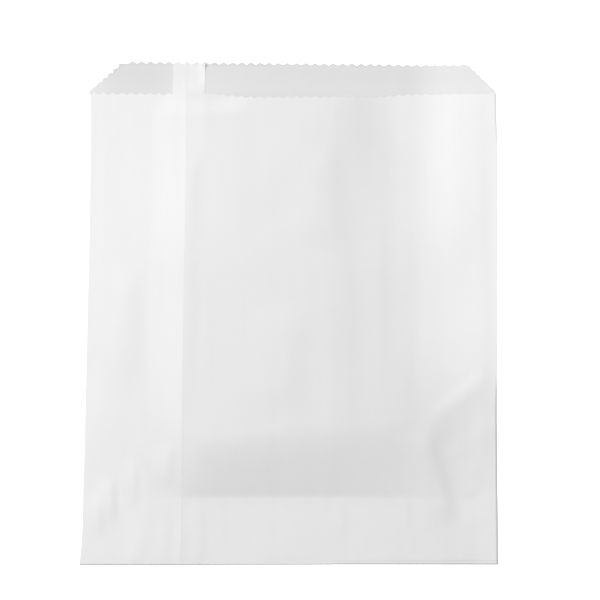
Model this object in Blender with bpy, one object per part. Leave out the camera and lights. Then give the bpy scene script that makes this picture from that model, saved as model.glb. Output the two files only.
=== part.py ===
"""A flat greaseproof paper bag, lying on its back with its glued seam up.

Metres, +X to the right, +Y towards the mouth, +Z up. The origin is the middle of the bag's footprint, on the
surface that it lies on.

The bag is one sheet. It is folded at both sides into a flat tube and glued along a seam on the front, and the
tube's lower end is folded behind the back and glued there. The back is longer than the front, so it stands out
past the mouth as a lip. Every cut is serrated. Each face of the paper is its own patch of triangles below, worked
out on the flat and raised to its height, and the patches are sewn together at their edges.
"""

import math

import bmesh
import bpy
from mathutils import Vector
from mathutils.geometry import delaunay_2d_cdt

MM = 0.001

# Outline, measured on the flat bag.
WIDTH = 165 * MM
LENGTH = 203 * MM
LIP = 12.5 * MM  # how far the back stands out past the front
FLAP = 26.5 * MM  # the end that is folded behind
CHAMFER = 11.3 * MM  # cut corners of the lip, measured along the side

# The paper. The real sheet is about 0.05 mm, which is too thin for a solid.
PLY = 0.25 * MM
FOLD_ROUND = PLY  # how far a fold's faces stay back from its edge
POCKET_INSET = 2 * PLY  # how far the pocket stays inside a side fold

# Serrated cuts. Teeth are counted from the left side, and a tooth's number is that of its left root.
TEETH = 44
TOOTH_DEPTH = 1.1 * MM
CHAMFER_TEETH = 6
LEFT_CHAMFER_DEPTH = 0.9 * MM
RIGHT_CHAMFER_DEPTH = 0.3 * MM
CHAMFER_END = 3  # the chamfer meets the lip's end at this root
TAB_FIRST, TAB_LAST = 9, 12  # the seam's tab, between these roots

# The seam: the left part of the front lies on the right part.
OVERLAP_START = 6  # between this root and the next, the left part climbs onto the right one
SEAM_TOOTH = 10.5
SEAM_STEP = 0.15 * MM  # run of the step down at the seam's edge

# How the front stands off the back.
LOOSE = 0.45 * MM
EDGE_RUN = 7 * MM  # from a closed edge to where the front is loose
PUFF = 5.4 * MM
BODY_CREST = (0, 16 * MM)
BODY_FOOT = 79 * MM
MOUTH_PUFF = 5.4 * MM
MOUTH_FOOT = (-42 * MM, 48 * MM)
MOUTH_CREST = (-8 * MM, 14 * MM)
MOUTH_REACH = 75 * MM  # how far down the bag the mouth's own shape is felt
SLOPE_RUN = 30 * MM  # the rise from the flap line to the full height
EDGE_SAG = 2.6 * MM  # the front's edge is drawn in where the mouth stands open
SAG_FOOT = (-42 * MM, 56 * MM)
SAG_CREST = (-8 * MM, 26 * MM)
TAB_CURL = 1.5 * MM  # the tab's right corner stands off the lip

# How the back lies.
LIFT_START = 48 * MM
LIFT_BEND = 6 * MM
LIFT_SLOPE = math.tan(math.radians(6))
LIFT_RUN = 48 * MM  # from the flap line to where the right strip is fully lifted
FLAP_RUNOUT = 14 * MM  # past the flap, the back comes down to the surface

# Mesh.
BODY_ROWS = 14
ROW_CROWDING = 1.4  # over 1 crowds the rows towards the flap line
MOUTH_BAND = 7 * MM  # from the last row to the mouth's roots
MERGE = 1e-6
INSIDE_ONLY = 1  # the triangulation keeps what lies inside its outline

# Finish.
PAPER_COLOUR = (0.85, 0.85, 0.85, 1)
PAPER_ROUGHNESS = 0.6

PITCH = WIDTH / TEETH
SIDE = WIDTH / 2
TOP, BOTTOM = LENGTH / 2, -LENGTH / 2
LIP_Y = TOP - TOOTH_DEPTH  # the y of each cut's roots
MOUTH_Y = LIP_Y - LIP
FLAP_Y = BOTTOM + FLAP
FOLD_X = SIDE - FOLD_ROUND
POCKET_X = SIDE - POCKET_INSET


def tooth_x(number):
    return -SIDE + number * PITCH


SEAM_TOP = tooth_x(SEAM_TOOTH)
SEAM_FOOT = SEAM_TOP + SEAM_STEP


def ramp(start, end, value):
    """0 before start, 1 after end, and a straight line between."""
    return min(max((value - start) / (end - start), 0), 1)


def smooth(start, end, value):
    """0 before start, 1 after end, and an S-curve between."""
    t = ramp(start, end, value)
    return t * t * (3 - 2 * t)


# Heights. Each face of the paper is a height over the flat outline.


def lift(x, y):
    """The strip along the right side bends up off the surface, except at the folded end. The slope grows evenly
    over the bend and stays the same past it."""
    past = x - LIFT_START
    turned = ramp(0, LIFT_BEND, past)
    rise = LIFT_SLOPE * (past * turned - LIFT_BEND / 2 * turned**2)
    return rise * smooth(FLAP_Y, FLAP_Y + LIFT_RUN, y)


def under_back(x, y):
    """The back's lower face. It lies on the two plies of the folded end, then on the surface."""
    return lift(x, y) + 2 * PLY * (1 - smooth(FLAP_Y, FLAP_Y + FLAP_RUNOUT, y))


def over_back(x, y):
    return under_back(x, y) + PLY


def body_profile(x):
    """Across the body: a pillow's rise from the left fold, a flat crest and a fall to the right strip."""
    rise = math.sin(math.pi / 2 * ramp(-SIDE, BODY_CREST[0], x))
    return rise * (1 - smooth(BODY_CREST[1], BODY_FOOT, x))


def arch(foot, crest, x):
    """0 outside the two feet, 1 between the two ends of the crest, and an S-curve between."""
    return smooth(foot[0], crest[0], x) * (1 - smooth(crest[1], foot[1], x))


def gap(x, y):
    """The pocket: how far the front stands off the back. It is 0 at the side folds and at the folded end."""
    inside = min(POCKET_X - abs(x), y - FLAP_Y)
    if inside <= 0:
        return 0
    near_mouth = smooth(MOUTH_Y - MOUTH_REACH, MOUTH_Y, y)
    puff = PUFF * body_profile(x) * (1 - near_mouth) + MOUTH_PUFF * arch(MOUTH_FOOT, MOUTH_CREST, x) * near_mouth
    puff *= smooth(FLAP_Y, FLAP_Y + SLOPE_RUN, y)
    curl = TAB_CURL * smooth(MOUTH_Y, LIP_Y, y) * smooth(tooth_x(TAB_FIRST), tooth_x(TAB_LAST), x)
    return LOOSE * smooth(0, EDGE_RUN, inside) + puff + curl


def under_front(x, y):
    return over_back(x, y) + gap(x, y)


def over_front(x, y):
    """The front's upper face, one ply higher where the seam's two parts overlap."""
    overlap = ramp(tooth_x(OVERLAP_START), tooth_x(OVERLAP_START + 1), x) * (1 - ramp(SEAM_TOP, SEAM_FOOT, x))
    return under_front(x, y) + PLY * (1 + overlap)


def under_flap(x, y):
    return 0


def fold_edge(x, y):
    """The outer edge of a side fold, half way up the plies that it holds together."""
    return over_back(x, y) if y >= FLAP_Y else 2 * PLY


# Lines on the flat outline, as lists of (x, y) from left to right.


def toothed(first, last, root_y):
    """A serrated cut between two roots. root_y is a function of x, and the tips point to +Y."""
    line = []
    for number in range(first, last):
        line.append((tooth_x(number), root_y(tooth_x(number))))
        line.append((tooth_x(number + 0.5), root_y(tooth_x(number + 0.5)) + TOOTH_DEPTH))
    line.append((tooth_x(last), root_y(tooth_x(last))))
    return line


def cut_with_tab(root_y, reach, end_x):
    """A cut right across the front. Between the tab's two sides it runs farther by reach: up for a tab, down for
    the notch that the next bag's tab leaves. The line ends at -end_x and end_x."""
    left, right = tooth_x(TAB_FIRST), tooth_x(TAB_LAST)
    tab = toothed(TAB_FIRST, TAB_LAST, lambda x: root_y(x) + reach)
    after_seam = next(i for i, (x, _) in enumerate(tab) if x > SEAM_TOP + MERGE)
    (tip_x, tip_y), (root_x, low_y) = tab[after_seam - 1], tab[after_seam]
    foot_y = tip_y + (low_y - tip_y) * (SEAM_FOOT - tip_x) / (root_x - tip_x)
    tab.insert(after_seam, (SEAM_FOOT, foot_y))
    half = reach / 2
    return (
        [(-end_x, root_y(-end_x))]
        + toothed(0, TAB_FIRST, root_y)[1:]
        + [(left, root_y(left) + half)]
        + tab
        + [(right, root_y(right) + half)]
        + toothed(TAB_LAST, TEETH, root_y)[:-1]
        + [(end_x, root_y(end_x))]
    )


def mouth_roots(x):
    """The front's cut is straight, but it is drawn in where the mouth stands open."""
    return MOUTH_Y - EDGE_SAG * arch(SAG_FOOT, SAG_CREST, x)


def chamfer(depth):
    """The cut corner on the right, from the side to the lip's end, with its teeth pointing out."""
    start, end = Vector((SIDE, LIP_Y - CHAMFER)), Vector((-tooth_x(CHAMFER_END), LIP_Y))
    step = (end - start) / CHAMFER_TEETH
    out = Vector((step.y, -step.x)).normalized() * depth
    line = []
    for number in range(CHAMFER_TEETH):
        line.append(tuple(start + step * number))
        line.append(tuple(start + step * (number + 0.5) + out))
    return line


def lip_cut():
    """The lip's edge, from one side fold over both cut corners to the other."""
    left = [(-x, y) for x, y in chamfer(LEFT_CHAMFER_DEPTH)]
    right = chamfer(RIGHT_CHAMFER_DEPTH)[::-1]
    return left + toothed(CHAMFER_END, TEETH - CHAMFER_END, lambda x: LIP_Y) + right


COLUMNS = sorted(
    [tooth_x(number) for number in range(1, TAB_FIRST + 1, 2)]
    + [tooth_x(OVERLAP_START), SEAM_TOP, SEAM_FOOT]
    + [tooth_x(number) for number in range(TAB_LAST, TEETH, 2)]
    + [tooth_x(TEETH - 1)]
)
LAST_ROW = MOUTH_Y - MOUTH_BAND
BODY = [FLAP_Y + (LAST_ROW - FLAP_Y) * (i / BODY_ROWS) ** ROW_CROWDING for i in range(BODY_ROWS + 1)]
FOLDED_END = [BOTTOM + FOLD_ROUND, BOTTOM + FLAP / 3]


def row(y, edge_x):
    return [(x, y) for x in (-edge_x, *COLUMNS, edge_x)]


# Patches.


def add_rows(bm, ys, edge_x, height):
    """Rows of points right across the bag, and two triangles in each cell between them. The diagonals lean away
    from the lower corners, because a triangle with all its points on the pocket's edge would be flat."""
    rows = [[bm.verts.new((x, y, height(x, y))) for x, y in row(y, edge_x)] for y in ys]
    for lower, upper in zip(rows, rows[1:]):
        for a, b, c, d in zip(lower, lower[1:], upper[1:], upper):
            if a.co.x + b.co.x > 0:
                a, b, c, d = b, a, d, c
            bm.faces.new((a, b, c))
            bm.faces.new((a, c, d))


def add_region(bm, outline, inner, creases, height):
    """The triangles inside an outline of any shape. Creases are lines of points that triangles don't cross."""
    points = list(outline) + list(inner)
    number = {(round(x / MERGE), round(y / MERGE)): i for i, (x, y) in enumerate(points)}
    edges = []
    for line in creases:
        ids = [number[round(x / MERGE), round(y / MERGE)] for x, y in line]
        edges += list(zip(ids, ids[1:]))
    flat = [Vector((x / MM, y / MM)) for x, y in points]
    whole = [list(range(len(outline)))]
    _, _, faces, sources, _, _ = delaunay_2d_cdt(flat, edges, whole, INSIDE_ONLY, MERGE / MM)
    verts = []
    for source in sources:
        x, y = points[source[0]]
        verts.append(bm.verts.new((x, y, height(x, y))))
    for face in faces:
        bm.faces.new([verts[i] for i in face])


def raised(line, height):
    return [(x, y, height(x, y)) for x, y in line]


def add_strip(bm, first, second):
    """The narrow faces between two lines of as many points, such as a cut edge or a fold."""
    a = [bm.verts.new(point) for point in first]
    b = [bm.verts.new(point) for point in second]
    for i in range(len(a) - 1):
        bm.faces.new((a[i], a[i + 1], b[i + 1]))
        bm.faces.new((a[i], b[i + 1], b[i]))


def add_triangle(bm, *corners):
    bm.faces.new([bm.verts.new(corner) for corner in corners])


def side_line(ys, x):
    return [(x, y) for y in ys]


def add_front(bm):
    """Both faces of the front, its cut edge at the mouth, and the tab on its seam."""
    for edge_x, height in ((FOLD_X, over_front), (POCKET_X, under_front)):
        cut = cut_with_tab(mouth_roots, LIP, edge_x)
        seams = []
        for seam_x in (SEAM_TOP, SEAM_FOOT):
            end = next(point for point in cut if abs(point[0] - seam_x) < MERGE)
            seams.append([(seam_x, LAST_ROW), (seam_x, MOUTH_Y), (seam_x, MOUTH_Y + LIP / 2), end])
        inner = [point for seam in seams for point in seam[1:-1]]
        add_region(bm, row(LAST_ROW, edge_x) + cut[::-1], inner, seams, height)
        add_rows(bm, ([] if height is under_front else FOLDED_END) + BODY, edge_x, height)
    add_strip(
        bm,
        raised(cut_with_tab(mouth_roots, LIP, FOLD_X), over_front),
        raised(cut_with_tab(mouth_roots, LIP, POCKET_X), under_front),
    )


def add_back(bm):
    """Both faces of the back, with the lip."""
    lip = lip_cut()
    middle = [(x, (MOUTH_Y + LIP_Y) / 2) for x in COLUMNS if abs(x) < SIDE - CHAMFER]
    upper = [(POCKET_X, MOUTH_Y), (SIDE, MOUTH_Y)] + lip[::-1] + [(-SIDE, MOUTH_Y), (-POCKET_X, MOUTH_Y)]
    lower = [(FOLD_X, MOUTH_Y)] + lip[::-1] + [(-FOLD_X, MOUTH_Y)]
    add_region(bm, row(LAST_ROW, POCKET_X) + upper, middle, [], over_back)
    add_region(bm, row(LAST_ROW, FOLD_X) + lower, middle, [], under_back)
    add_rows(bm, BODY, POCKET_X, over_back)
    add_rows(bm, BODY[1:], FOLD_X, under_back)
    add_strip(
        bm,
        raised([(-SIDE, MOUTH_Y)] + lip + [(SIDE, MOUTH_Y)], over_back),
        raised([(-FOLD_X, MOUTH_Y)] + lip + [(FOLD_X, MOUTH_Y)], under_back),
    )


def add_folded_end(bm):
    """The tube's lower end, folded behind the back. Its cut has the notch that the next bag's tab leaves."""
    cut = cut_with_tab(lambda x: FLAP_Y, -LIP, FOLD_X)
    add_region(bm, cut + row(BODY[1], FOLD_X)[::-1], [], [], under_back)
    add_region(bm, row(FOLDED_END[-1], FOLD_X) + cut[::-1], [], [], under_flap)
    add_rows(bm, FOLDED_END, FOLD_X, under_flap)
    add_strip(bm, raised(cut, under_back), raised(cut, under_flap))


def add_folds(bm):
    """The side folds and the bottom fold. Each runs from an upper face round its edge to a lower face."""
    folded = FOLDED_END + [FLAP_Y]
    body = BODY + [MOUTH_Y]
    bottom = row(FOLDED_END[0], FOLD_X)
    upper = [*side_line(folded[:0:-1], -FOLD_X), *bottom, *side_line(folded[1:], FOLD_X)]
    edge = (
        side_line(folded[:0:-1], -SIDE)
        + [(-SIDE, BOTTOM)]
        + [(x, BOTTOM) for x in COLUMNS]
        + [(SIDE, BOTTOM)]
        + side_line(folded[1:], SIDE)
    )
    add_strip(bm, raised(upper, over_front), raised(edge, fold_edge))
    add_strip(bm, raised(edge, fold_edge), raised(upper, under_flap))
    for side in (-1, 1):
        upper = raised(side_line(body, side * FOLD_X), over_front)
        edge = raised(side_line(body, side * SIDE), fold_edge)
        lower = raised(side_line(body, side * FOLD_X), under_back)
        pocket_end = raised([(side * POCKET_X, MOUTH_Y)], under_front)[0]
        flap_end = raised([(side * FOLD_X, FLAP_Y)], under_flap)[0]
        add_strip(bm, upper, edge)
        add_strip(bm, edge, lower)
        add_triangle(bm, upper[-1], pocket_end, edge[-1])
        add_triangle(bm, lower[0], flap_end, edge[0])


def make_bag():
    bm = bmesh.new()
    add_front(bm)
    add_back(bm)
    add_folded_end(bm)
    add_folds(bm)
    bmesh.ops.remove_doubles(bm, verts=bm.verts, dist=MERGE)
    bmesh.ops.recalc_face_normals(bm, faces=bm.faces)
    mesh = bpy.data.meshes.new("paper_bag")
    bm.to_mesh(mesh)
    bm.free()
    bag = bpy.data.objects.new("paper_bag", mesh)
    bpy.context.scene.collection.objects.link(bag)
    return bag


def greaseproof_paper():
    material = bpy.data.materials.new("greaseproof_paper")
    material.use_nodes = True
    shader = material.node_tree.nodes["Principled BSDF"]
    shader.inputs["Base Color"].default_value = PAPER_COLOUR
    shader.inputs["Roughness"].default_value = PAPER_ROUGHNESS
    shader.inputs["Metallic"].default_value = 0
    return material


for old in list(bpy.data.objects):
    bpy.data.objects.remove(old)
make_bag().data.materials.append(greaseproof_paper())
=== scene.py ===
# %% [markdown]
# # A greaseproof paper bag
#
# A flat counter bag is one sheet of thin white paper. A machine folds the sheet into a flat tube, glues the
# two edges over each other as a seam on the front, cuts the tube with a serrated knife, folds the lower end
# behind and glues it there. This lesson makes the bag in the same way: the whole bag is one surface of two
# parameters. The first runs round the tube, from one glued edge to the other. The second runs along the
# tube, from the folded end behind, round the bottom fold, and up the bag to the mouth and the lip.
#
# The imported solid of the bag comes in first, as the frame that everything is measured from.

# %% Load the frame
import math

import bpy
import numpy as np
from mathutils import Matrix, Vector


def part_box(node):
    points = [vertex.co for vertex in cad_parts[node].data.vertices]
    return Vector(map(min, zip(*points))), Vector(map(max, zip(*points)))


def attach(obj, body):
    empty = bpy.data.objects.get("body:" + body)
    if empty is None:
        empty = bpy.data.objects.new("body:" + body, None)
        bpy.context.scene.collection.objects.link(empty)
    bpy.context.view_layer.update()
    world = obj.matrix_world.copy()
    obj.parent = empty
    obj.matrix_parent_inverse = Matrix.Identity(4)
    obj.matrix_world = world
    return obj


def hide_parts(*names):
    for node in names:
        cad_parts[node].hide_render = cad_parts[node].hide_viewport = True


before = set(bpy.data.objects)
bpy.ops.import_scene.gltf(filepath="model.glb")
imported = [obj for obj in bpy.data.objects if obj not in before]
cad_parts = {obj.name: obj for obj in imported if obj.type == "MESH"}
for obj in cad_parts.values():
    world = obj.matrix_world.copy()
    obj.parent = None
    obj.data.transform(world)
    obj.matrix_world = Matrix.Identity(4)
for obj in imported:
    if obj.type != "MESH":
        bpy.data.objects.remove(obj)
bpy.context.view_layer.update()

MM = 0.001
low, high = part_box("paper_bag")
WIDTH, LENGTH = high[0] - low[0], high[1] - low[1]
print(f"the bag is {WIDTH / MM:.1f} mm wide and {LENGTH / MM:.1f} mm long")

# %% [markdown]
# ## The camera
#
# The bag lies on its back, so it is seen from above, by a long lens that leans a few degrees towards the
# folded end. A camera looks along its own -Z, so its Z axis points from what it aims at to where it stands.
# The two other axes follow from that and from the roll, and the three axes are the columns of its matrix.
# The camera comes first because it shows at once whether the bag fills the frame.

# %% Camera
CAMERA_LENS = 70  # the focal length in millimetres
CAMERA_AIM = Vector((3.6, 3.8, 0)) * MM
CAMERA_DISTANCE = 471 * MM
CAMERA_LEAN = math.radians(4.3)  # towards the folded end
CAMERA_SIDE = math.radians(-0.8)  # towards the right side, so this one is a little to the left
CAMERA_ROLL = math.radians(0.2)


def make_camera():
    """A camera that looks at its aim. Its three axes are its right, its up and the way back from the aim."""
    lean, side = CAMERA_LEAN, CAMERA_SIDE
    back = Vector((math.sin(side) * math.cos(lean), -math.sin(lean), math.cos(side) * math.cos(lean)))
    right = Vector((0, 1, 0)).cross(back).normalized()
    right = right * math.cos(CAMERA_ROLL) + back.cross(right) * math.sin(CAMERA_ROLL)
    axes = Matrix((right, back.cross(right), back)).transposed()
    data = bpy.data.cameras.new("camera")
    data.lens = CAMERA_LENS
    camera = bpy.data.objects.new("camera", data)
    place = CAMERA_AIM + back * CAMERA_DISTANCE
    camera.matrix_world = Matrix.LocRotScale(place, axes.to_quaternion(), None)
    bpy.context.scene.collection.objects.link(camera)
    return camera


bpy.context.scene.camera = make_camera()
print("the camera stands at", [round(v / MM) for v in bpy.context.scene.camera.location], "mm")

# %% [markdown]
# ## The sizes of the bag
#
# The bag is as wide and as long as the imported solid, and its other sizes are those of a real bag. One
# serrated knife cuts the mouth, the lip, the tab and the folded end, so a place across the bag is best
# counted in teeth from the left side. A whole number is a root between two teeth, and a half is a tip.

# %% Sizes
TEETH = 44
TOOTH_DEPTH = 1.1 * MM
TOOTH_SEEN = 0.9 * MM  # worn and curled, a tooth stands out a little less
WORN = (42 * MM, 64 * MM, 0.6)  # between these places the teeth lose this share of their depth
LIP = 12.5 * MM  # how far the back stands out past the front
FLAP = 26 * MM  # the end that is folded behind
CHAMFER = 11.3 * MM  # the height of the lip's cut corners
CHAMFER_ENDS = (3.5, 3)  # where the left and the right one meet the lip's end, each from its own side
CHAMFER_TEETH = 6
CHAMFER_DEPTHS = ((0.2 * MM, 1.1 * MM), (0.2 * MM, 0.4 * MM))  # of each one's lowest and highest tooth
TAB = (9, 12.5)  # the seam's tab stands between these places
OVERLAP = (6, 7)  # between these places the left part climbs onto the right one
SEAM = 10.5  # where the left part ends, glued to the right one
SAME = 0.01 * MM  # two places closer than this are the same place

SIDE = WIDTH / 2
TOP, BOTTOM = LENGTH / 2, -LENGTH / 2
PITCH = WIDTH / TEETH

# The y of the roots of each cut: the lip's, the front's and the folded end's
LIP_Y = TOP - TOOTH_DEPTH
MOUTH_Y = LIP_Y - LIP
FLAP_Y = BOTTOM + FLAP

PAPER = 0.05 * MM  # thickness
PLY = 0.25 * MM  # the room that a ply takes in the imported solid
FOLD_ROUND = 0.25 * MM  # the radius of a side fold
FOLD_X = SIDE - FOLD_ROUND


def tooth_x(number):
    """The x of a place that is counted in teeth from the left side."""
    return -SIDE + number * PITCH


SEAM_X = tooth_x(SEAM)
print(f"a tooth is {PITCH / MM:.2f} mm wide, and the seam lies at x = {SEAM_X / MM:.1f} mm")

# %% [markdown]
# ## Building blocks for soft shapes
#
# Paper has no corners where it bends freely, so heights are made from S-curves. `smooth` is the S-curve
# 3t^2 - 2t^3, which starts and ends level. `arch` is a rise and a fall with a level crest between them.
# `crease` is the mark of one bend: along a line, the paper rises over one distance and falls over another.
# Where the two distances differ, one side is steep and catches a shadow, and the other is too gentle to
# see. `cloud` is smooth noise, made by blending a seeded grid of random numbers.

# %% Soft steps, arches, creases and clouds
LATTICE = 64  # random numbers along each side of a cloud's grid


def ramp(start, end, value):
    """0 before start, 1 after end, and a straight line between."""
    return np.clip((value - start) / (end - start), 0, 1)


def smooth(start, end, value):
    """0 before start, 1 after end, and an S-curve between."""
    t = ramp(start, end, value)
    return t * t * (3 - 2 * t)


def arch(feet, crest, value):
    """0 outside the feet, 1 between the ends of the crest, and an S-curve between."""
    return smooth(feet[0], crest[0], value) * (1 - smooth(crest[1], feet[1], value))


def crease(x, y, start, end, before, after, height, fade=0.3):
    """A bend along the line from start to end, all in mm. To the right of one who walks along it, the
    height is an S-curve up over the distance before. To the left, it is one down over the distance after.
    Along the line it fades in and out over a share of the length."""
    x, y = x / MM, y / MM
    run = math.dist(start, end)
    dx, dy = (end[0] - start[0]) / run, (end[1] - start[1]) / run
    off = (y - start[1]) * dx - (x - start[0]) * dy
    along = ((x - start[0]) * dx + (y - start[1]) * dy) / run
    ends = smooth(0, fade, along) * (1 - smooth(1 - fade, 1, along))
    return height * MM * ends * smooth(-before, 0, off) * (1 - smooth(0, after, off))


def cloud(x, y, cell, seed):
    """Smooth noise from -1 to 1. S-curves blend the seeded random numbers at the corners of each cell."""
    lattice = np.random.default_rng(seed).uniform(-1, 1, (LATTICE, LATTICE))
    u, v = x / cell[0] + LATTICE / 2, y / cell[1] + LATTICE / 2
    i, j = np.floor(u).astype(int), np.floor(v).astype(int)
    s, t = smooth(0, 1, u - i), smooth(0, 1, v - j)
    i, j = i % (LATTICE - 1), j % (LATTICE - 1)
    lower = lattice[i, j] * (1 - s) + lattice[i + 1, j] * s
    upper = lattice[i, j + 1] * (1 - s) + lattice[i + 1, j + 1] * s
    return lower * (1 - t) + upper * t


share = float(crease(5 * MM, 0, (0, -9), (0, 9), 8, 10, 1)) / MM
print(f"5 mm off its line, a crease of 8 mm keeps {share:.2f} of its height")

# %% [markdown]
# ## How the bag lies
#
# The back lies on the table. Only its right strip is bent up a little, the lip's end curls up slightly, and
# below the flap line the back rests on the two plies that are folded behind. The front stands off the back
# like a very flat cushion. It comes down to the folded end in one even slope that stops at a crisp line,
# because there it meets four plies glued together. At the mouth the cushion becomes an arch to the right of
# the tab.

# %% Heights of the back
LIFT_START = 48 * MM  # the right strip is bent up from here on
LIFT_BEND = 6 * MM  # the width of the bend
LIFT_SLOPE = math.tan(math.radians(6))
LIFT_RUN = 48 * MM  # from the flap line to where the right strip is fully lifted
FLAP_RUNOUT = 14 * MM  # past the flap, the back comes down to the table
LIP_CURL = 0.5 * MM  # how high the lip's end stands


def lift(x, y):
    """The right strip's rise: a slope that grows evenly over the bend and then stays."""
    past = x - LIFT_START
    turned = ramp(0, LIFT_BEND, past)
    rise = LIFT_SLOPE * (past * turned - LIFT_BEND / 2 * turned**2)
    return rise * smooth(FLAP_Y, FLAP_Y + LIFT_RUN, y)


def flap_below(y):
    """1 over the folded end, 0 past its run-out."""
    return 1 - smooth(FLAP_Y, FLAP_Y + FLAP_RUNOUT, y)


def lip_curl(y):
    """The lip's rise from the mouth to its end."""
    return LIP_CURL * smooth(MOUTH_Y, TOP, y) ** 2


def under_back(x, y):
    """The back's outer face."""
    return lift(x, y) + 2 * PLY * flap_below(y) + lip_curl(y)


print(f"the right edge is {lift(SIDE, 0) / MM:.1f} mm up")

# %% [markdown]
# The front is a sum of plain shapes and creases. Such a bag gets its creases when it is packed flat, opened
# and laid down: long soft ones down the body, sharp short ones where the corners buckle, and fine streaks
# over the folded end, where the plies were pressed together. The arch at the mouth leans: its crest and its
# right foot move to the right on the way up. Where the tab was pressed onto the lip, it holds the front
# down too.

# %% Heights of the front
LOOSE = 0.45 * MM  # the front's height over the back where nothing more lifts it
LOOSE_LOST = 0.7  # the share of it that is lost at the mouth
EDGE_RUN = 7 * MM  # the front comes down over this distance at each side
POCKET_X = SIDE - 2 * PLY  # and meets the back here

PUFF = 5.4 * MM  # the cushion's height
BODY_CREST = (0, 16 * MM)
BODY_FOOT = 79 * MM  # its right foot; its left one is the left side

MOUTH_PUFF = 5.1 * MM  # the arch's height
MOUTH_REACH = 75 * MM  # the cushion turns into the arch over this distance
MOUTH_LEVEL = 65 * MM  # the y that the arch's places are given for
MOUTH_FEET = (-44 * MM, 57.5 * MM)
MOUTH_CREST = 11.5 * MM
MOUTH_FLAT = 2 * MM  # the width of the crest
CREST_LEAN, FOOT_LEAN = 0.24, 0.3  # how far crest and right foot move for each step towards the mouth
FALL_POWER = 0.8  # under 1, the arch falls sooner
TAB_LANDING = 6 * MM  # past the mouth, the tab comes down onto the lip over this distance

SLOPE_RUN = (23 * MM, 31 * MM)  # from the flap line to the full height, at the seam and at the right
SLOPE_RIGHT = 45 * MM  # where the second of them begins
LEFT_RUN = 45 * MM  # how much longer the slope is left of the seam
LEFT_RUN_END = (-60 * MM, -34 * MM)  # it ends between these places
FLAP_BEND = 1.5 * MM  # the slope starts over this distance
END_HELD = 4 * MM  # creases and waves fade out over this distance at the bottom

TAB_REST = 0.36  # the share of its height that the front keeps where the tab holds it down
TAB_PRESS = ((6.5, 18), (8.5, 12.8))  # the feet and the crest of that place, in teeth
TAB_PRESS_RUN = 9 * MM  # and its length, down from the mouth
TAB_CURL = 1.7 * MM  # how high the tab's right corner stands
TAB_BEND = 2.8 * MM  # the width of the curled strip
CURL_RUN = 6.5 * MM  # and its length
CURL_POWERS = (1.3, 3)  # how late the strip rises across and along

WAVES = (
    # height, cell, seed
    (0.05 * MM, (5 * MM, 60 * MM), 3),
    (0.1 * MM, (22 * MM, 30 * MM), 4),
)

# Each crease has a start, an end, before, after, a height and, where it isn't the usual one, a fade.
BODY_CREASES = (
    ((48, 126), (47, -90), 16, 15, 0.5),
    ((25, 70), (30, -70), 8, 10, -0.3),
    ((12, 68), (13, 22), 14, 10, 0.45),
    ((22, 40), (24, -40), 14, 12, -0.28),
    ((68, 110), (68, 10), 13, 14, 0.5),
    ((-67, 22), (-66, -38), 12, 8, 0.5),
    ((-43, 80), (-43, -50), 12, 7, 0.3),
    ((-12, 90), (-10, 20), 14, 14, -0.3),
    ((0, 5), (-6, -45), 20, 12, 0.5),
)
CORNER_CREASES = (
    ((50.6, -45), (63.4, -87), 13, 7, 0.68, 0.25),
    ((57.6, -45), (70.4, -87), 6.5, 14, -0.4),
    ((57, -57), (84, -35), 8, 6, -0.2),
    ((53, -47), (80, -25), 6, 5, 0.35),
    ((-77.5, -72), (-75, -92), 8, 3, 0.4, 0.45),
    ((-72.7, -64.5), (-70, -88), 9, 3.2, 0.6, 0.45),
    ((-63.5, -58), (-61.5, -81), 8, 3, 0.4, 0.45),
    ((-49.7, -53), (-48.5, -72), 8, 4, 0.45, 0.4),
    ((72, -60), (73, -76), 8, 4, 0.2),
)
END_STREAKS = (
    ((-37, -73), (-35, -108), 6, 4, 0.22),
    ((-43, -83), (-43, -108), 5, 3, 0.12),
    ((-49.2, -83), (-49.2, -108), 6, 3, 0.15),
    ((-59.3, -85), (-59.3, -108), 6, 3, 0.18),
    ((20, -74), (20.5, -92), 5, 2.5, 0.15),
    ((45.5, -73), (46, -90), 5, 2.5, 0.15),
    ((70, -80), (70, -104), 6, 4, 0.1),
)


def body_profile(x):
    """A pillow's rise from the left fold, a flat crest and a fall to the right fold."""
    return np.sin(math.pi / 2 * ramp(-SIDE, BODY_CREST[0], x)) * (1 - smooth(BODY_CREST[1], BODY_FOOT, x))


def mouth_profile(x, y):
    """The arch: an S-curve from its left foot up to its crest, and a sooner one down to its right foot."""
    climb = y - MOUTH_LEVEL
    crest, foot = MOUTH_CREST + CREST_LEAN * climb, MOUTH_FEET[1] + FOOT_LEAN * climb
    fall = smooth(0, 1, ramp(crest + MOUTH_FLAT, foot, x) ** FALL_POWER)
    return smooth(MOUTH_FEET[0], crest, x) * (1 - fall)


def slope_to_flap(x, y):
    """(5t - t^5) / 4: an even slope from the flap line that levels out at the end of its run."""
    run = SLOPE_RUN[0] + (SLOPE_RUN[1] - SLOPE_RUN[0]) * ramp(SEAM_X, SLOPE_RIGHT, x)
    run = run + LEFT_RUN * (1 - smooth(*LEFT_RUN_END, x))
    past = y - FLAP_Y
    turned = ramp(0, FLAP_BEND, past)
    t = np.clip((past * turned - FLAP_BEND / 2 * turned**2) / run, 0, 1)
    return (5 * t - t**5) / 4


def creases(x, y, table):
    """The height of all the creases of a table together."""
    return sum(crease(x, y, *row) for row in table)


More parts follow.
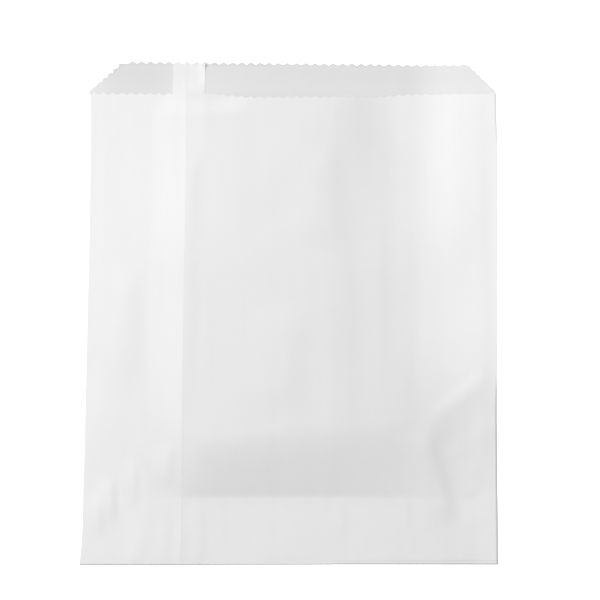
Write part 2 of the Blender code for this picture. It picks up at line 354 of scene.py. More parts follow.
def gap(x, y):
    """How far the front stands off the back: a loose start with its creases, the cushion and the arch."""
    near_mouth = smooth(MOUTH_Y - MOUTH_REACH, MOUTH_Y, y)
    body = PUFF * body_profile(x) * (1 - near_mouth)
    mouth = MOUTH_PUFF * mouth_profile(x, y) * near_mouth
    held = smooth(0, EDGE_RUN, POCKET_X - abs(x))
    loose = (LOOSE * (1 - LOOSE_LOST * near_mouth) + creases(x, y, BODY_CREASES)) * held
    landing = 1 - smooth(MOUTH_Y, MOUTH_Y + TAB_LANDING, y)
    return (loose + body + mouth) * slope_to_flap(x, y) * landing


def pressed(x, y):
    """1 where the tab holds the front down on the back, 0 away from it."""
    feet, crest = (tooth_x(np.array(places)) for places in TAB_PRESS)
    return arch(feet, crest, x) * smooth(MOUTH_Y - TAB_PRESS_RUN, MOUTH_Y, y)


def tab_curl(x, y):
    """The rise of the tab's right corner off the lip."""
    side = tooth_x(TAB[1])
    across = ramp(side - TAB_BEND, side, x) ** CURL_POWERS[0]
    along = ramp(TOP - CURL_RUN, TOP, y) ** CURL_POWERS[1]
    return TAB_CURL * across * along * (x < side + SAME)


def over_front(x, y):
    """The front's outer face. It is the fourth ply up to the flap line, and the second where it is loose."""
    end = creases(x, y, CORNER_CREASES) + creases(x, y, END_STREAKS)
    waves = sum(height * cloud(x, y, cell, seed) for height, cell, seed in WAVES)
    relief = (end + waves * smooth(0, EDGE_RUN, SIDE - abs(x))) * smooth(0, END_HELD, y - BOTTOM)
    plies = 2 * PLY * (2 - slope_to_flap(x, y))
    height = (plies + gap(x, y)) * (1 - (1 - TAB_REST) * pressed(x, y))
    return lift(x, y) + lip_curl(y) + height + relief + tab_curl(x, y)


middle = over_front(np.array(0.0), np.array(0.0))
print(f"the front stands {middle / MM:.1f} mm over the table in its middle")

# %% [markdown]
# ## The serrated cuts
#
# A knife with triangular teeth leaves a triangle wave. The wave is a formula, so any column of the surface
# can ask where its cut ends. At the mouth the knife leaves the tab standing, with the seam's edge in it,
# and the folded end has the notch that the next bag's tab came out of. At the lip's corners the line of the
# cut turns to a diagonal, with its own teeth. Towards the right the teeth are worn lower.

# %% Cuts
EDGE_SAG = 2.6 * MM  # the front's edge is drawn in where the mouth stands open
SAG_FEET = (-42 * MM, 56 * MM)
SAG_CREST = (-8 * MM, 26 * MM)
LEFT_SAG = 0.6 * MM  # and it lies lower left of the tab
LEFT_SAG_END = (-52 * MM, -46 * MM)  # that ends between these places


def tooth_wave(x):
    """0 at the roots and 1 at the tips: 1 - |2 frac - 1|, with frac the place inside a tooth from 0 to 1.
    The tips get lower where the cut is worn."""
    frac = np.mod((x + SIDE) / PITCH, 1)
    return (1 - abs(2 * frac - 1)) * (1 - WORN[2] * ramp(WORN[0], WORN[1], x))


def mouth_roots(x):
    """The line of the front's cut without its teeth."""
    sag = EDGE_SAG * arch(SAG_FEET, SAG_CREST, x)
    return MOUTH_Y - sag - LEFT_SAG * (1 - smooth(*LEFT_SAG_END, x))


def chamfer_line(side):
    """The (x, y) of the roots and tips of a cut corner, in order of x, for side -1 or 1. Its roots lie on a
    diagonal, and each tip stands off it halfway between two of them. A corner that ends inside a tooth has
    a level piece up to the next root."""
    which = int(side > 0)
    end_x = -tooth_x(CHAMFER_ENDS[which])
    start, end = np.array((SIDE, LIP_Y - CHAMFER)), np.array((end_x, LIP_Y))
    step = (end - start) / CHAMFER_TEETH
    out = np.array((step[1], -step[0])) / np.hypot(*step)
    number = np.arange(0, CHAMFER_TEETH + 0.5, 0.5)[:, None]
    depth = (number % 1 > 0) * np.interp(number, (0, CHAMFER_TEETH), CHAMFER_DEPTHS[which])
    line = start + step * number + out * depth
    line = np.append(line, [(-tooth_x(math.ceil(CHAMFER_ENDS[which])), LIP_Y)], 0) * (side, 1)
    return np.unique(line.round(7), axis=0)


def lip_roots(x):
    """The line of the lip's cut without its teeth: level, and a diagonal at each corner."""
    left, right = tooth_x(CHAMFER_ENDS[0]), -tooth_x(CHAMFER_ENDS[1])
    return LIP_Y - CHAMFER * (ramp(left, -SIDE, x) + ramp(right, SIDE, x))


def lip_cut(x):
    """The lip's cut with its teeth."""
    left, right = chamfer_line(-1), chamfer_line(1)
    level = LIP_Y + TOOTH_SEEN * tooth_wave(x)
    level = np.where(x < left[-1, 0], np.interp(x, left[:, 0], left[:, 1]), level)
    return np.where(x > right[0, 0], np.interp(x, right[:, 0], right[:, 1]), level)


print("the left cut corner has its tips at x =", (chamfer_line(-1)[1::2, 0] / MM).round(1))

# %% [markdown]
# ## Round the tube
#
# The first parameter of the surface is a list of columns. Each column has a flat x, a turn from 1 on the
# front to -1 on the back, and a mark where it belongs to the left part, which lies over the right one in
# the seam. A side fold is a half circle: its x is a cosine and its turn a sine of one angle. The columns
# sit on the roots and tips of the teeth, so that the teeth come out with straight sides.

# %% Columns
PER_TOOTH = 4  # columns for each tooth on the front
FOLD_STEPS = 8
UNDER_EDGE = 7  # the right part's edge, under the left part, in teeth


def tooth_columns(first, last):
    """The x of columns between two places."""
    return tooth_x(np.linspace(first, last, round((last - first) * PER_TOOTH) + 1))


def back_columns():
    """From right to left: the corner's roots and tips, two columns for each tooth, and the other corner."""
    first, last = math.ceil(CHAMFER_ENDS[0]), TEETH - CHAMFER_ENDS[1]
    middle = tooth_x(np.arange(first, last + 0.1, 0.5))
    x = np.concatenate([chamfer_line(-1)[1:-1, 0], middle, chamfer_line(1)[1:-1, 0]])
    return np.sort(x[abs(x) < FOLD_X])[::-1]


def round_the_tube():
    """Columns from the right part's edge, round the right fold, the back and the left fold, to the seam.
    One more stands close to the right fold, where a dark line runs along it."""
    right = np.append(tooth_columns(UNDER_EDGE, TEETH)[:-1], SIDE - 2 * FOLD_ROUND)
    angle = np.linspace(math.pi / 2, -math.pi / 2, FOLD_STEPS + 1)
    fold_x, fold_turn = FOLD_X + FOLD_ROUND * np.cos(angle), np.sin(angle)
    back = back_columns()
    left = tooth_columns(0, SEAM)[1:]
    x = np.concatenate([right, fold_x, back, -fold_x, left])
    turn = np.concatenate([right * 0 + 1, fold_turn, back * 0 - 1, -fold_turn, left * 0 + 1])
    over = (np.arange(len(x)) >= len(x) - len(left)).astype(float)
    return x, turn, over


flat_x, turn, over = round_the_tube()
front = turn > 0
front_part = (turn + 1) / 2  # 1 on the front, 0 on the back, between them round a side fold
in_tab = (flat_x > tooth_x(TAB[0]) + SAME) & (flat_x < tooth_x(TAB[1]) - SAME)
print(len(flat_x), "columns round the tube")

# %% [markdown]
# ## Along the tube
#
# The second parameter runs from the end of the folded flap, round the bottom fold, and up the bag to the
# mouth and the lip. Rows crowd together where the paper bends most, at the flap line, at the bottom fold
# and near the mouth, and at the fine line that the press leaves beside the bottom fold. Most rows are
# level. The ones near a cut gather into its line, and only the last of them take on its teeth. The rows of
# the lip and of the flap's end are cut across by the tab and its notch, so cells are left out there: the
# front has none of the lip's rows but the tab's, and the flap has none in the notch.

# %% Rows
BODY_ROWS = 120
LIP_ROWS = 16
FLAP_ROWS = (6, 7)  # above and below the notch's end
GATHER_Y = MOUTH_Y - 22 * MM  # above this line the front's rows follow the cut
TOOTH_POWER = 8  # how late the rows take on the teeth
FOLD_HALF = 0.2 * MM  # half of the folded tube's thickness
UPPER_MIDDLE, LOWER_MIDDLE = 0.77 * MM, 0.34 * MM  # the height of the tube's middle, over and under the fold
SEAM_RISE = PAPER + 0.005 * MM  # the left part of the seam lies on the right one
BOTTOM_MIDDLE = BOTTOM + (UPPER_MIDDLE - LOWER_MIDDLE) / 2 + FOLD_HALF + SEAM_RISE
PRESS_LINE = BOTTOM + 1.8 * MM
FINE_STEPS = 20000
MOUTH_CROWD = 1.2  # how much denser the rows get towards the mouth
FLAP_CROWD = (1.6, FLAP_Y, 5 * MM)  # how much denser, where and how far from there
FOLD_CROWD = (20, BOTTOM_MIDDLE, 0.2 * MM)
PRESS_CROWD = (8, PRESS_LINE, 0.4 * MM)


def crowd(y, more, place, reach):
    """A bell curve: more exp(-((y - place) / reach)^2)."""
    return more * np.exp(-(((y - place) / reach) ** 2))


def body_rows():
    """Levels from the bottom fold to the mouth. Their density is 1 and what each crowd adds, and they lie
    where its running total passes equal steps."""
    y = np.linspace(BOTTOM_MIDDLE, MOUTH_Y, FINE_STEPS)
    density = 1 + crowd(y, *FLAP_CROWD) + MOUTH_CROWD * smooth(GATHER_Y, MOUTH_Y, y)
    density = density + crowd(y, *FOLD_CROWD) + crowd(y, *PRESS_CROWD)
    total = np.cumsum(density)
    return np.interp(np.linspace(total[0], total[-1], BODY_ROWS), total, y)


def rows_to_cut(start, roots, cut, t):
    """y = start + (roots - start) t + (cut - roots) t^8, so that the teeth appear in the last rows."""
    return start + (roots - start) * t + (cut - roots) * t**TOOTH_POWER


steps = np.diff(body_rows()) / MM
print(f"the rows are {steps.min():.2f} to {steps.max():.2f} mm apart")

# %% [markdown]
# ## The sheet
#
# Now each point has its column and its row. On the body, its height goes from the back's to the front's as
# the column turns. Behind the bag the flat tube lies level, and round the bottom fold it follows a half
# circle, with the front outside. The left part lies one paper higher than the right one all the way, so it
# also comes outermost behind. The tips of the lip's teeth curl up, and those of the front bend down a
# little. Last, the sides are bent as on a real bag, where they are never quite straight. `Solidify` then
# gives the surface the thickness of paper, towards the inside of the tube.

# %% Paper sheet
# Each pair is a y and how far the side is moved to the right there, in mm.
LEFT_LINE = (
    (-101, -0.8), (-90, 0.0), (-72, 0.1), (-40, 0.35), (0, 0.6), (40, 0.8), (75, 0.5), (89, 0.1), (101, 0.6)
)
RIGHT_LINE = (
    (-101, 0.2), (-85, 0.2), (-60, 0.1), (-40, -0.2), (-20, 0), (0, 0.15), (45, 0.7), (68, 0.95), (76, 0.7),
    (90, 0.55)
)
BOTTOM_DROP = 0.35 * MM  # the lower left corner hangs this much lower
DROP_ACROSS = (20 * MM, -60 * MM)  # the drop grows between these places
BOTTOM_RISE = 0.09 * MM  # the right half of the bottom is this much higher
RIGHT_HALF = (8 * MM, 22 * MM)  # the right half comes in between these places
BOTTOM_REACH = 30 * MM  # both end this far from the bottom
LIP_DROP = 0.3 * MM  # the right end of the lip is this much lower
LIP_ACROSS = (-50 * MM, 50 * MM)
TIP_CURL = 0.35 * MM  # how far the tips of the lip's teeth curl up
FRONT_TIPS = -0.15  # the front's tips bend down by this share of it
TIP_CELL, TIP_SEED = (9 * MM, LENGTH), 7

seam_climb = over * ramp(tooth_x(OVERLAP[0]), tooth_x(OVERLAP[1]), flat_x) * SEAM_RISE
teeth = TOOTH_SEEN * tooth_wave(flat_x)


def flap_points():
    """Behind the bag: rows from the serrated end down to the notch's end, and on down to the fold."""
    notch_y = FLAP_Y - LIP
    t = np.linspace(1, 0, FLAP_ROWS[0], endpoint=False)[:, None]
    first = rows_to_cut(notch_y, FLAP_Y, FLAP_Y + teeth, t)
    second = np.linspace(notch_y + teeth * 0, BOTTOM_MIDDLE, FLAP_ROWS[1], endpoint=False)
    y = np.concatenate([first, second])
    return np.stack([flat_x + 0 * y, y, LOWER_MIDDLE - FOLD_HALF * turn - seam_climb + 0 * y], 2)


def bottom_fold_points():
    """y = middle - r sin, z = middle + r cos, with a larger r for the front, which goes round outside."""
    angle = np.linspace(math.pi, 0, FOLD_STEPS, endpoint=False)[:, None]
    radius = (UPPER_MIDDLE - LOWER_MIDDLE) / 2 + FOLD_HALF * turn + seam_climb
    z = (UPPER_MIDDLE + LOWER_MIDDLE) / 2 + radius * np.cos(angle)
    return np.stack([flat_x + 0 * z, BOTTOM_MIDDLE - radius * np.sin(angle), z], 2)


def body_levels():
    """The y of the rows from the bottom fold to the mouth and on to the lip's end, and how far each point
    bends up because it is near the tip of a tooth."""
    level = body_rows()[:, None]
    gather = ramp(GATHER_Y, MOUTH_Y, level)
    roots = mouth_roots(flat_x)
    on_front = rows_to_cut(GATHER_Y, roots, roots + teeth * ~in_tab, gather)
    body = level + (np.where(gather > 0, on_front, level) - level) * front_part
    body_tips = ramp(0, TOOTH_DEPTH, body - roots) * (turn == 1) * ~in_tab
    t = np.linspace(0, 1, LIP_ROWS + 1)[1:, None]
    roots = np.where(turn == 1, LIP_Y, lip_roots(flat_x))
    lip = rows_to_cut(body[-1], roots, np.where(turn == 1, LIP_Y + teeth, lip_cut(flat_x)), t)
    lip_tips = ramp(0, TOOTH_DEPTH, lip - roots)
    return np.concatenate([body, lip]), np.concatenate([FRONT_TIPS * body_tips**2, lip_tips**2])


def body_points():
    """z = lower + (upper - lower) front_part. Over the folded end, both faces are moved a little, from the
    levels of the solid's plies to those of the flat tube."""
    y, bend = body_levels()
    lower = under_back(flat_x, y) + (UPPER_MIDDLE - FOLD_HALF - 2 * PLY) * flap_below(y)
    sunk = (4 * PLY - UPPER_MIDDLE - FOLD_HALF) * (1 - slope_to_flap(flat_x, y))
    upper = over_front(flat_x, y) - sunk
    z = lower + (upper - lower) * front_part + seam_climb
    z += TIP_CURL * bend * (1 + cloud(flat_x, y, TIP_CELL, TIP_SEED))
    return np.stack([flat_x + 0 * y, y, z], 2)


def bent_sides(points):
    """The points with the sides moved along their lines, and the bottom and the lip's end off level."""
    x, y = points[..., 0], points[..., 1]
    left, right = (np.interp(y / MM, *np.transpose(line)) * MM for line in (LEFT_LINE, RIGHT_LINE))
    tilt = BOTTOM_DROP * ramp(*DROP_ACROSS, x) - BOTTOM_RISE * smooth(*RIGHT_HALF, x)
    high_right = ramp(*LIP_ACROSS, x) * smooth(MOUTH_Y, LIP_Y, y)
    down = tilt * (1 - smooth(BOTTOM, BOTTOM + BOTTOM_REACH, y)) + LIP_DROP * high_right
    moved = np.stack([left * ramp(0, -SIDE, x) + right * ramp(0, SIDE, x), -down, 0 * x], 2)
    return points + moved


def on_border(mesh, quads):
    """Which edges of the mesh belong to one quad only. An edge is told by its two points, as one number."""
    as_one = (len(mesh.vertices), 1)
    ends = np.empty(len(mesh.edges) * 2, int)
    mesh.edges.foreach_get("vertices", ends)
    sides = np.sort(np.stack([quads, np.roll(quads, -1, 1)], 2).reshape(-1, 2), 1)
    sides, times = np.unique(sides @ as_one, return_counts=True)
    return np.isin(np.sort(ends.reshape(-1, 2), 1) @ as_one, sides[times == 1])


def grid_mesh(name, points, kept):
    """A mesh of one quad for each kept cell of the grid, from arrays. It is smooth, and sharp along its
    border, so that the cut edge of the paper doesn't shade the face next to it. Returns the mesh and which
    points of the grid it has."""
    rows, columns = points.shape[:2]
    corner = np.arange(rows * columns).reshape(rows, columns)[:-1, :-1][kept]
    quads = np.stack([corner, corner + 1, corner + columns + 1, corner + columns], 1)
    used, quads = np.unique(quads, return_inverse=True)
    quads = quads.reshape(-1, 4)
    mesh = bpy.data.meshes.new(name)
    mesh.from_pydata(points.reshape(-1, 3)[used], [], quads)
    mesh.shade_smooth()
    sharp = mesh.attributes.new("sharp_edge", "BOOLEAN", "EDGE")
    sharp.data.foreach_set("value", on_border(mesh, quads))
    return mesh, used


def add_piece(name, mesh):
    """A new object in the scene, made of this mesh."""
    piece = bpy.data.objects.new(name, mesh)
    bpy.context.scene.collection.objects.link(piece)
    return piece


def kept_cells(rows):
    """All cells but the flap's in the notch, and the lip's on the front beside the tab. A cell lies between
    two columns, and it is at the tab or on the front when one of them is."""
    at_tab = in_tab[1:] | in_tab[:-1]
    on_front = front[1:] | front[:-1]
    kept = np.ones((rows - 1, len(at_tab)), bool)
    kept[: FLAP_ROWS[0], at_tab] = False
    kept[-LIP_ROWS:, on_front & ~at_tab] = False
    return kept


sheet = bent_sides(np.concatenate([flap_points(), bottom_fold_points(), body_points()]))
mesh, used = grid_mesh("paper_sheet", sheet, kept_cells(len(sheet)))
bag = add_piece("paper_sheet", mesh)
thickness = bag.modifiers.new("thickness", "SOLIDIFY")
thickness.thickness = PAPER
thickness.offset = -1
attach(bag, "root")
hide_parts("paper_bag")
print(f"the sheet has {sheet.shape[0]} rows and {sheet.shape[1]} columns")

# %% [markdown]
# ## Plies, painted light and painted shade
#
# Greaseproof paper lets some light through, so one ply on its own looks greyer than two, and three in the
# seam look whitest. Light and shade are also painted into the whiteness: painted light on the left strip
# and more on its lower corner, and on the right strip, which is bent up towards the lamp, and painted shade
# on the left flank of the arch. The plies are known for every point of the sheet. Each function below gives
# a share from 0 to 1 for every point. A pair of places says where the share starts to change and where it is
# done.

# %% Shares of plies, painted light and painted shade
# the folded end's plies fade in between these; the long fade below the flap line is a painted shade that
# carries the dark band on
FLAP_TOP = (FLAP_Y - 6 * MM, FLAP_Y + 1 * MM)
FLAP_ACROSS = ((-48 * MM, 72 * MM), (-40 * MM, 52 * MM))  # feet and crest
RIGHT_PART = (6.6, 7)  # the right part's edge shows through the left part, in teeth
SEAM_LOW = (-60 * MM, -40 * MM)
SEAM_HIGH = ((0, 84 * MM), (20 * MM, 60 * MM))  # feet and crest
SEAM_LOSES = (0.4, 0.2)  # the seam is this much less white there, low down and higher up
LOW_LEFT_SIDE = (-62 * MM, -50 * MM)
LOW_LEFT_TOP = (-36 * MM, -20 * MM)
RIGHT_START, RIGHT_RUN = 34 * MM, 24 * MM  # where the right strip starts, and until it is full
RIGHT_SHIFT = 10 * MM  # near the mouth it starts this much sooner
RIGHT_SHIFTED = (58 * MM, MOUTH_Y)
RIGHT_LOW = (-60 * MM, 0)
RIGHT_EDGE = (66 * MM, 78 * MM)
RIGHT_EDGE_SHARE = 0.5  # beside the right fold the painted light goes all the way down
FLANK_RUNS = (5 * MM, 24 * MM)  # how softly the arch's flank starts and ends
FLANK_SHIFT = 5 * MM  # beside the tab it starts this much later
FLANK_SHIFTED = (50 * MM, 68 * MM)
FLANK_END, FLANK_LEVEL, FLANK_LEAN = -14 * MM, 40 * MM, 0.55  # an x, at this y, and its move for each step up
FLANK_LAST = -4 * MM  # it moves no further than this
FLANK_LOW = (MOUTH_Y - 85 * MM, MOUTH_Y - 25 * MM)
TAB_LOW = (MOUTH_Y - 1 * MM, MOUTH_Y + 5 * MM)
CURLED_LOW = (91 * MM, 95 * MM)
CURLED_POWER = 0.3


def flap_share(x, y):
    """The folded end, with its two more plies. Its soft top paints shade just below the flap line."""
    return (1 - smooth(*FLAP_TOP, y)) * arch(*FLAP_ACROSS, x)


def left_share(x):
    """The left strip of the front, up to the edge of the right part."""
    return front * (1 - ramp(*(tooth_x(place) for place in RIGHT_PART), x))


def low_left_light_share(x, y):
    """Painted light on the lower left corner of the front."""
    return left_share(x) * (1 - smooth(*LOW_LEFT_SIDE, x)) * (1 - smooth(*LOW_LEFT_TOP, y))


def seam_share(x, y):
    """The seam, where three plies lie."""
    seam_white_share = 1 - SEAM_LOSES[0] * (1 - smooth(*SEAM_LOW, y)) - SEAM_LOSES[1] * arch(*SEAM_HIGH, y)
    return front * (1 - left_share(x)) * (over > 0) * seam_white_share


def right_strip_light_share(x, y):
    """Painted light on the right strip of the front, where it comes down to the back and is bent up towards
    the lamp.
    """
    first = RIGHT_START - RIGHT_SHIFT * smooth(*RIGHT_SHIFTED, y)
    strip = front * smooth(first, first + RIGHT_RUN, x) * smooth(*RIGHT_LOW, y)
    return np.maximum(strip, RIGHT_EDGE_SHARE * front * smooth(*RIGHT_EDGE, x))


def flank_shade_share(x, y):
    """Painted shade on the arch's left flank, which starts at the seam and gets wider towards the mouth."""
    first = SEAM_X + FLANK_SHIFT * smooth(*FLANK_SHIFTED, y)
    last = np.minimum(FLANK_END + FLANK_LEAN * (y - FLANK_LEVEL), FLANK_LAST)
    flank = arch((first, last + FLANK_RUNS[1]), (first + FLANK_RUNS[0], last), x)
    return front * (over == 0) * flank * smooth(*FLANK_LOW, y)


def curl_highlight_share(x, y):
    """A painted highlight on the tab's curled corner."""
    side = tooth_x(TAB[1])
    return front * ramp(side - TAB_BEND, side, x) ** CURLED_POWER * smooth(*CURLED_LOW, y)


# %% [markdown]
# ## Lines along the folds
#
# A fold looks darker than the paper beside it, because its face turns away from the light. Here that shade
# is painted into the whiteness as dark lines. The right side fold shows as a painted line low down and again
# near the mouth. The bottom fold shows as one all along, wider on the right half, where the press has left a
# second, fine crease whose shade is painted as a line beside it.

# %% Shares of lines
SIDE_LINE = (SIDE - 0.95 * MM, SIDE - 0.35 * MM)
SIDE_TURN = -0.2  # the line goes this far round the fold
SIDE_LOW, SIDE_HIGH = (-38 * MM, -24 * MM), (66 * MM, 78 * MM)
SIDE_HIGH_SHARE = 0.55
BOTTOM_LINE = 0.25 * MM  # how far the line's edge lies below the middle of the fold, on the left half
BOTTOM_WIDER = 0.4 * MM  # and on the right half its edge is this much higher
BOTTOM_SOFT = 0.15 * MM
PRESS_FEET, PRESS_CREST = (-0.25 * MM, 0.25 * MM), (-0.05 * MM, 0.05 * MM)


def side_line_share(y):
    """The right side fold."""
    shown = 1 - smooth(*SIDE_LOW, y) + SIDE_HIGH_SHARE * smooth(*SIDE_HIGH, y)
    return smooth(*SIDE_LINE, flat_x) * (turn > SIDE_TURN) * shown


def bottom_line_share(x, y):
    """The bottom fold, from its lowest point up to the line's edge."""
    edge = BOTTOM_MIDDLE - BOTTOM_LINE + BOTTOM_WIDER * smooth(*RIGHT_HALF, x) * front
    return smooth(BOTTOM_SOFT, 0, y - edge)


def press_line_share(x, y):
    """The fine line beside the bottom fold."""
    return arch(PRESS_FEET, PRESS_CREST, y - PRESS_LINE) * smooth(*RIGHT_HALF, x) * front


# %% [markdown]
# ## How white the paper is
#
# The shares are now added up to one whiteness for each point, painted light and shade included, which the
# sheet keeps as an attribute that the material reads. The two plies of the body come first, and the lip,
# which is one ply, last.

# %% Whiteness of each point
ONE_PLY, TWO_PLIES, THREE_PLIES = 0.75, 0.797, 0.85
FLAP_PLIES, TAB_PLIES = 0.813, 0.843
LEFT_STRIP_LIGHT, RIGHT_STRIP_LIGHT = 0.025, 0.085  # painted light on the left strip and on the right strip, which is bent up towards the lamp
LOW_LEFT_LIGHT = 0.8  # painted light that the lower left corner adds, as a share of the left strip's
FLANK_SHADE, CURL_HIGHLIGHT = -0.042, 0.07  # painted shade on the arch's flank and a painted highlight on the tab's curled corner
BOTTOM_SHADE, SIDE_SHADE, PRESS_SHADE = -0.2, -0.32, -0.09  # what the three lines add
LIP_LEFT_SHADE, LIP_RIGHT_LIGHT = -0.035, 0.06  # painted shade on the lip's left side and painted light on its right side, added to one ply
LIP_LEFT_ACROSS = ((-80 * MM, -46 * MM), (-70 * MM, -58 * MM))  # feet and crest
LIP_RIGHT_ACROSS = (48 * MM, 64 * MM)
LIP_SOFT = 1 * MM  # the lip starts this far under the front's edge


def front_whiteness(x, y):
    """Two plies, changed by each share: more plies, and painted light and shade."""
    white = TWO_PLIES + (FLAP_PLIES - TWO_PLIES) * flap_share(x, y)
    white = white + (THREE_PLIES - TWO_PLIES) * seam_share(x, y)
    white = white + LEFT_STRIP_LIGHT * (left_share(x) + LOW_LEFT_LIGHT * low_left_light_share(x, y))
    white = white + RIGHT_STRIP_LIGHT * right_strip_light_share(x, y)
    white = white + FLANK_SHADE * flank_shade_share(x, y)
    white = white + (TAB_PLIES - white) * front * smooth(*TAB_LOW, y)
    return white + CURL_HIGHLIGHT * curl_highlight_share(x, y)


def line_shade(x, y):
    """What the lines along the folds add, all of it below 0. In the corner the side's line takes the
    bottom line's place."""
    side = side_line_share(y)
    bottom = BOTTOM_SHADE * bottom_line_share(x, y) * (1 - side)
    return SIDE_SHADE * side + bottom + PRESS_SHADE * press_line_share(x, y)


def lip_whiteness(x):
    """One ply, with painted shade at the left and painted light at the right."""
    return ONE_PLY + LIP_LEFT_SHADE * arch(*LIP_LEFT_ACROSS, x) + LIP_RIGHT_LIGHT * smooth(*LIP_RIGHT_ACROSS, x)


def whiteness_and_painted_shading(points):
    """The whiteness of every point of the sheet, with its painted light and shade."""
    x, y = points[..., 0], points[..., 1]
    white = front_whiteness(x, y) + line_shade(x, y)
    on_lip = (turn < 0) * smooth(mouth_roots(x) - LIP_SOFT, mouth_roots(x), y)
    return white + (lip_whiteness(x) - white) * on_lip


white = whiteness_and_painted_shading(sheet)
attribute = bag.data.attributes.new("whiteness_and_painted_shading", "FLOAT", "POINT")
attribute.data.foreach_set("value", white.ravel()[used].astype(np.float32))
print(f"the whiteness runs from {white.min():.3f} to {white.max():.3f}")

# %% [markdown]
# ## The paper's finish
#
# Greaseproof paper is beaten hard and rolled smooth. Close up it has a cloudy formation, faint streaks
# along the machine's direction, and very fine fibres that only show as a soft tooth in the gloss. The
# clouds and the streaks are noises of different stretch that scale the whiteness by a percent or so. The
# clouds also make the gloss uneven, and the fibres are a fine bump.

# %% Paper material
FORMATION = ((1, 1, 1), 180, 3)  # stretch, scale and detail of each noise
STREAKS = ((1, 0.05, 1), 420, 2)
FIBRES = ((1, 0.35, 1), 2600, 2)
FORMATION_SHADE, STREAK_SHADE = 0.012, 0.01
ROUGHNESS, UNEVEN = 0.55, 0.1
SPECULAR, SHEEN = 0.35, 0.04
FIBRE_HEIGHT, FIBRE_STRENGTH = 0.02 * MM, 0.3


def add_node(tree, kind, **values):
    """A new node of this kind with these values set."""
    node = tree.nodes.new(kind)
    for name, value in values.items():
        setattr(node, name, value)
    return node


def noise(tree, place, stretch, scale, detail):
    """A noise at the place times the stretch. A stretch under 1 draws its pattern out along that axis."""
    mapping = add_node(tree, "ShaderNodeMapping")
    mapping.inputs["Scale"].default_value = stretch
    pattern = add_node(tree, "ShaderNodeTexNoise")
    pattern.inputs["Scale"].default_value = scale
    pattern.inputs["Detail"].default_value = detail
    tree.links.new(place, mapping.inputs["Vector"])
    tree.links.new(mapping.outputs["Vector"], pattern.inputs["Vector"])
    return pattern.outputs["Fac"]


def math_node(tree, operation, first, second):
    """One step of arithmetic on two values, each a number or the output of a node."""
    node = add_node(tree, "ShaderNodeMath", operation=operation)
    for socket, value in zip(node.inputs, (first, second)):
        if isinstance(value, (int, float)):
            socket.default_value = value
        else:
            tree.links.new(value, socket)
    return node.outputs["Value"]


def around_one(tree, pattern, amount):
    """1 + amount (2 pattern - 1)."""
    return math_node(tree, "ADD", math_node(tree, "MULTIPLY", pattern, 2 * amount), 1 - amount)


def greaseproof_paper():
    """White paper whose colour is its whiteness, painted light and shade included, with its clouds, its
    streaks and its fibres.
    """
    material = bpy.data.materials.new("greaseproof_paper")
    material.use_nodes = True
    tree = material.node_tree
    shader = tree.nodes["Principled BSDF"]
    shader.inputs["Specular IOR Level"].default_value = SPECULAR
    shader.inputs["Sheen Weight"].default_value = SHEEN
    place = add_node(tree, "ShaderNodeTexCoord").outputs["Object"]
    formation = noise(tree, place, *FORMATION)
    streaks = noise(tree, place, *STREAKS)
    fibres = noise(tree, place, *FIBRES)
    level = add_node(tree, "ShaderNodeAttribute", attribute_name="whiteness_and_painted_shading").outputs["Fac"]
    level = math_node(tree, "MULTIPLY", level, around_one(tree, formation, FORMATION_SHADE))
    level = math_node(tree, "MULTIPLY", level, around_one(tree, streaks, STREAK_SHADE))
    colour = add_node(tree, "ShaderNodeCombineColor")
    for channel in ("Red", "Green", "Blue"):
        tree.links.new(level, colour.inputs[channel])
    tree.links.new(colour.outputs["Color"], shader.inputs["Base Color"])
    roughness = math_node(tree, "MULTIPLY", around_one(tree, formation, UNEVEN), ROUGHNESS)
    tree.links.new(roughness, shader.inputs["Roughness"])
    bump = add_node(tree, "ShaderNodeBump")
    bump.inputs["Strength"].default_value = FIBRE_STRENGTH
    bump.inputs["Distance"].default_value = FIBRE_HEIGHT
    tree.links.new(fibres, bump.inputs["Height"])
    tree.links.new(bump.outputs["Normal"], shader.inputs["Normal"])
    return material


bag.data.materials.append(greaseproof_paper())
print("the paper has", len(bag.data.materials[0].node_tree.nodes), "nodes")

# %% [markdown]
# ## The table and the light
#
# The bag lies on a light table, a glowing white sheet that keeps the ground white where a shadow falls. One
# large soft lamp stands high up beyond the mouth and to the left, and even light comes from all round. The
# even light fills the folds, and the lamp draws the slopes of the paper. The lamp stands more than two
# metres off, so that its light falls off only slightly across the bag.

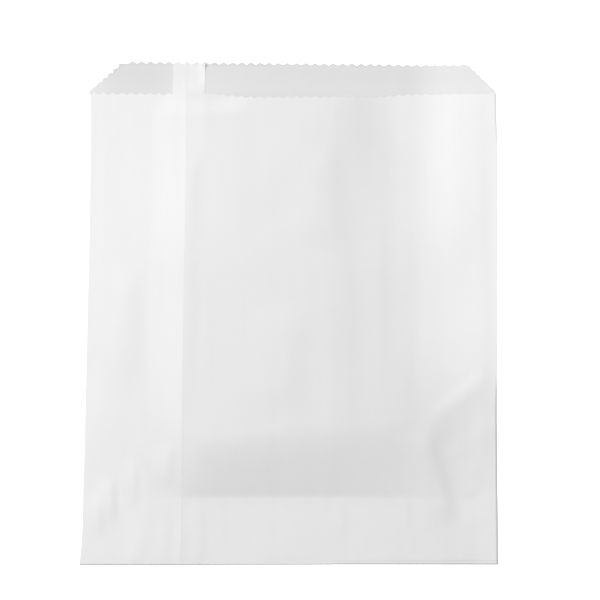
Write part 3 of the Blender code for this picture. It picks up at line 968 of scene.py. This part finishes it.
# %% Table, lamp and surrounding light
TABLE_HALF = 2.0  # half of its side, in metres
TABLE_DROP = 0.02 * MM  # a hair of room under the bag
TABLE_GLOW = 0.7
LAMP_TURN, LAMP_RISE = math.radians(128), math.radians(50)  # from +X towards +Y, and up from level
LAMP_DISTANCE, LAMP_SIZE = 2.2, 0.8  # in metres
LEVEL_LIGHT = 1.01  # what a white level surface gets in all
LAMP_SHARE = 0.58  # the lamp's part of it


def glowing_white(name, glow):
    """A matt white that also gives off light of its own."""
    material = bpy.data.materials.new(name)
    material.use_nodes = True
    shader = material.node_tree.nodes["Principled BSDF"]
    shader.inputs["Base Color"].default_value = (1, 1, 1, 1)
    shader.inputs["Roughness"].default_value = 1
    shader.inputs["Specular IOR Level"].default_value = 0
    shader.inputs["Emission Color"].default_value = (1, 1, 1, 1)
    shader.inputs["Emission Strength"].default_value = glow
    return material


def make_table():
    """One large square under the bag."""
    half = TABLE_HALF
    corners = [(x, y, -TABLE_DROP) for x, y in ((-half, -half), (half, -half), (half, half), (-half, half))]
    mesh = bpy.data.meshes.new("table")
    mesh.from_pydata(corners, [], [(0, 1, 2, 3)])
    mesh.materials.append(glowing_white("light_table", TABLE_GLOW))
    add_piece("table", mesh)


def make_lamp():
    """A soft lamp. From the distance d, its power P gives a white level surface P sin(rise) / (pi d)^2."""
    level = math.cos(LAMP_RISE)
    towards = Vector((math.cos(LAMP_TURN) * level, math.sin(LAMP_TURN) * level, math.sin(LAMP_RISE)))
    data = bpy.data.lights.new("lamp", "AREA")
    data.size = LAMP_SIZE
    data.energy = LEVEL_LIGHT * LAMP_SHARE * (math.pi * LAMP_DISTANCE) ** 2 / math.sin(LAMP_RISE)
    lamp = bpy.data.objects.new("lamp", data)
    lamp.location = towards * LAMP_DISTANCE
    lamp.rotation_euler = towards.to_track_quat("Z", "Y").to_euler()
    bpy.context.scene.collection.objects.link(lamp)


def make_surrounding_light():
    """Even white light from all round, for the rest of what a level surface gets."""
    world = bpy.data.worlds.new("even_light")
    world.use_nodes = True
    background = world.node_tree.nodes["Background"]
    background.inputs["Color"].default_value = (1, 1, 1, 1)
    background.inputs["Strength"].default_value = LEVEL_LIGHT * (1 - LAMP_SHARE)
    bpy.context.scene.world = world


make_table()
make_lamp()
make_surrounding_light()
bpy.context.scene.view_settings.view_transform = "Standard"
print(f"the lamp gives {LAMP_SHARE:.0%} of the light on the table, and the surroundings give the rest")
